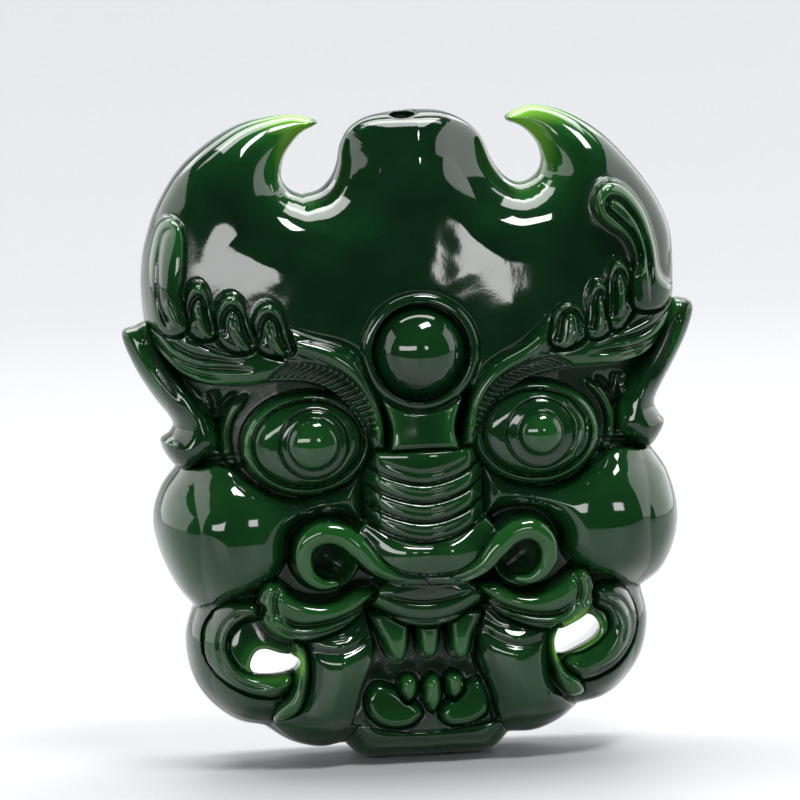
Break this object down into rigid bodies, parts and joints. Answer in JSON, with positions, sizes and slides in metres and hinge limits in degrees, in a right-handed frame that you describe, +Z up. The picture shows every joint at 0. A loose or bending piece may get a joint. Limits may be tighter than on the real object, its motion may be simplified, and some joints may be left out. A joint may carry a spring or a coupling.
{
  "type": "carved jade figurine",
  "caption": "Polished green stone carving of a horned beast mask with a pearl on its brow, coiled tusks and a cord bore in its crown.",
  "frame": {"origin": "middle of the flat under the chin, under the centre of the carving's box", "axes": "+X to the viewer's right, the face looks along -Y, +Z up through the crown"},
  "size_m": [0.0528, 0.019, 0.06],
  "materials": {
    "jade": "polished"
  },
  "bodies": {
    "root": {"back_core": "jade", "brow_curl_1_left": "jade", "brow_curl_1_right": "jade", "brow_curl_2_left": "jade", "brow_curl_2_right": "jade", "brow_curl_3_left": "jade", "brow_curl_3_right": "jade", "brow_curl_4_left": "jade", "brow_curl_4_right": "jade", "brow_left": "jade", "brow_right": "jade", "cheek_left": "jade", "cheek_right": "jade", "chin": "jade", "crown": "jade", "ear_left": "jade", "ear_right": "jade", "eye_rim_left": "jade", "eye_rim_right": "jade", "eye_socket_left": "jade", "eye_socket_right": "jade", "eyeball_left": "jade", "eyeball_right": "jade", "forehead": "jade", "forehead_pearl": "jade", "horn_left": "jade", "horn_right": "jade", "inner_jaw_lobe_left": "jade", "inner_jaw_lobe_right": "jade", "iris_left": "jade", "iris_right": "jade", "lip_roll_left": "jade", "lip_roll_right": "jade", "lower_front_tooth": "jade", "lower_gum_left": "jade", "lower_gum_right": "jade", "lower_side_tooth_left": "jade", "lower_side_tooth_right": "jade", "mouth_floor": "jade", "nose_bridge": "jade", "nose_saddle": "jade", "nose_tip": "jade", "nose_wrinkle_1": "jade", "nose_wrinkle_2": "jade", "nose_wrinkle_3": "jade", "nostril_scroll_left": "jade", "nostril_scroll_right": "jade", "outer_jaw_lobe_left": "jade", "outer_jaw_lobe_right": "jade", "pearl_rim": "jade", "tusk_curl_left": "jade", "tusk_curl_right": "jade", "tusk_stem_left": "jade", "tusk_stem_right": "jade", "upper_fang_left": "jade", "upper_fang_right": "jade", "upper_front_tooth": "jade", "upper_lip": "jade"}
  },
  "joints": []
}
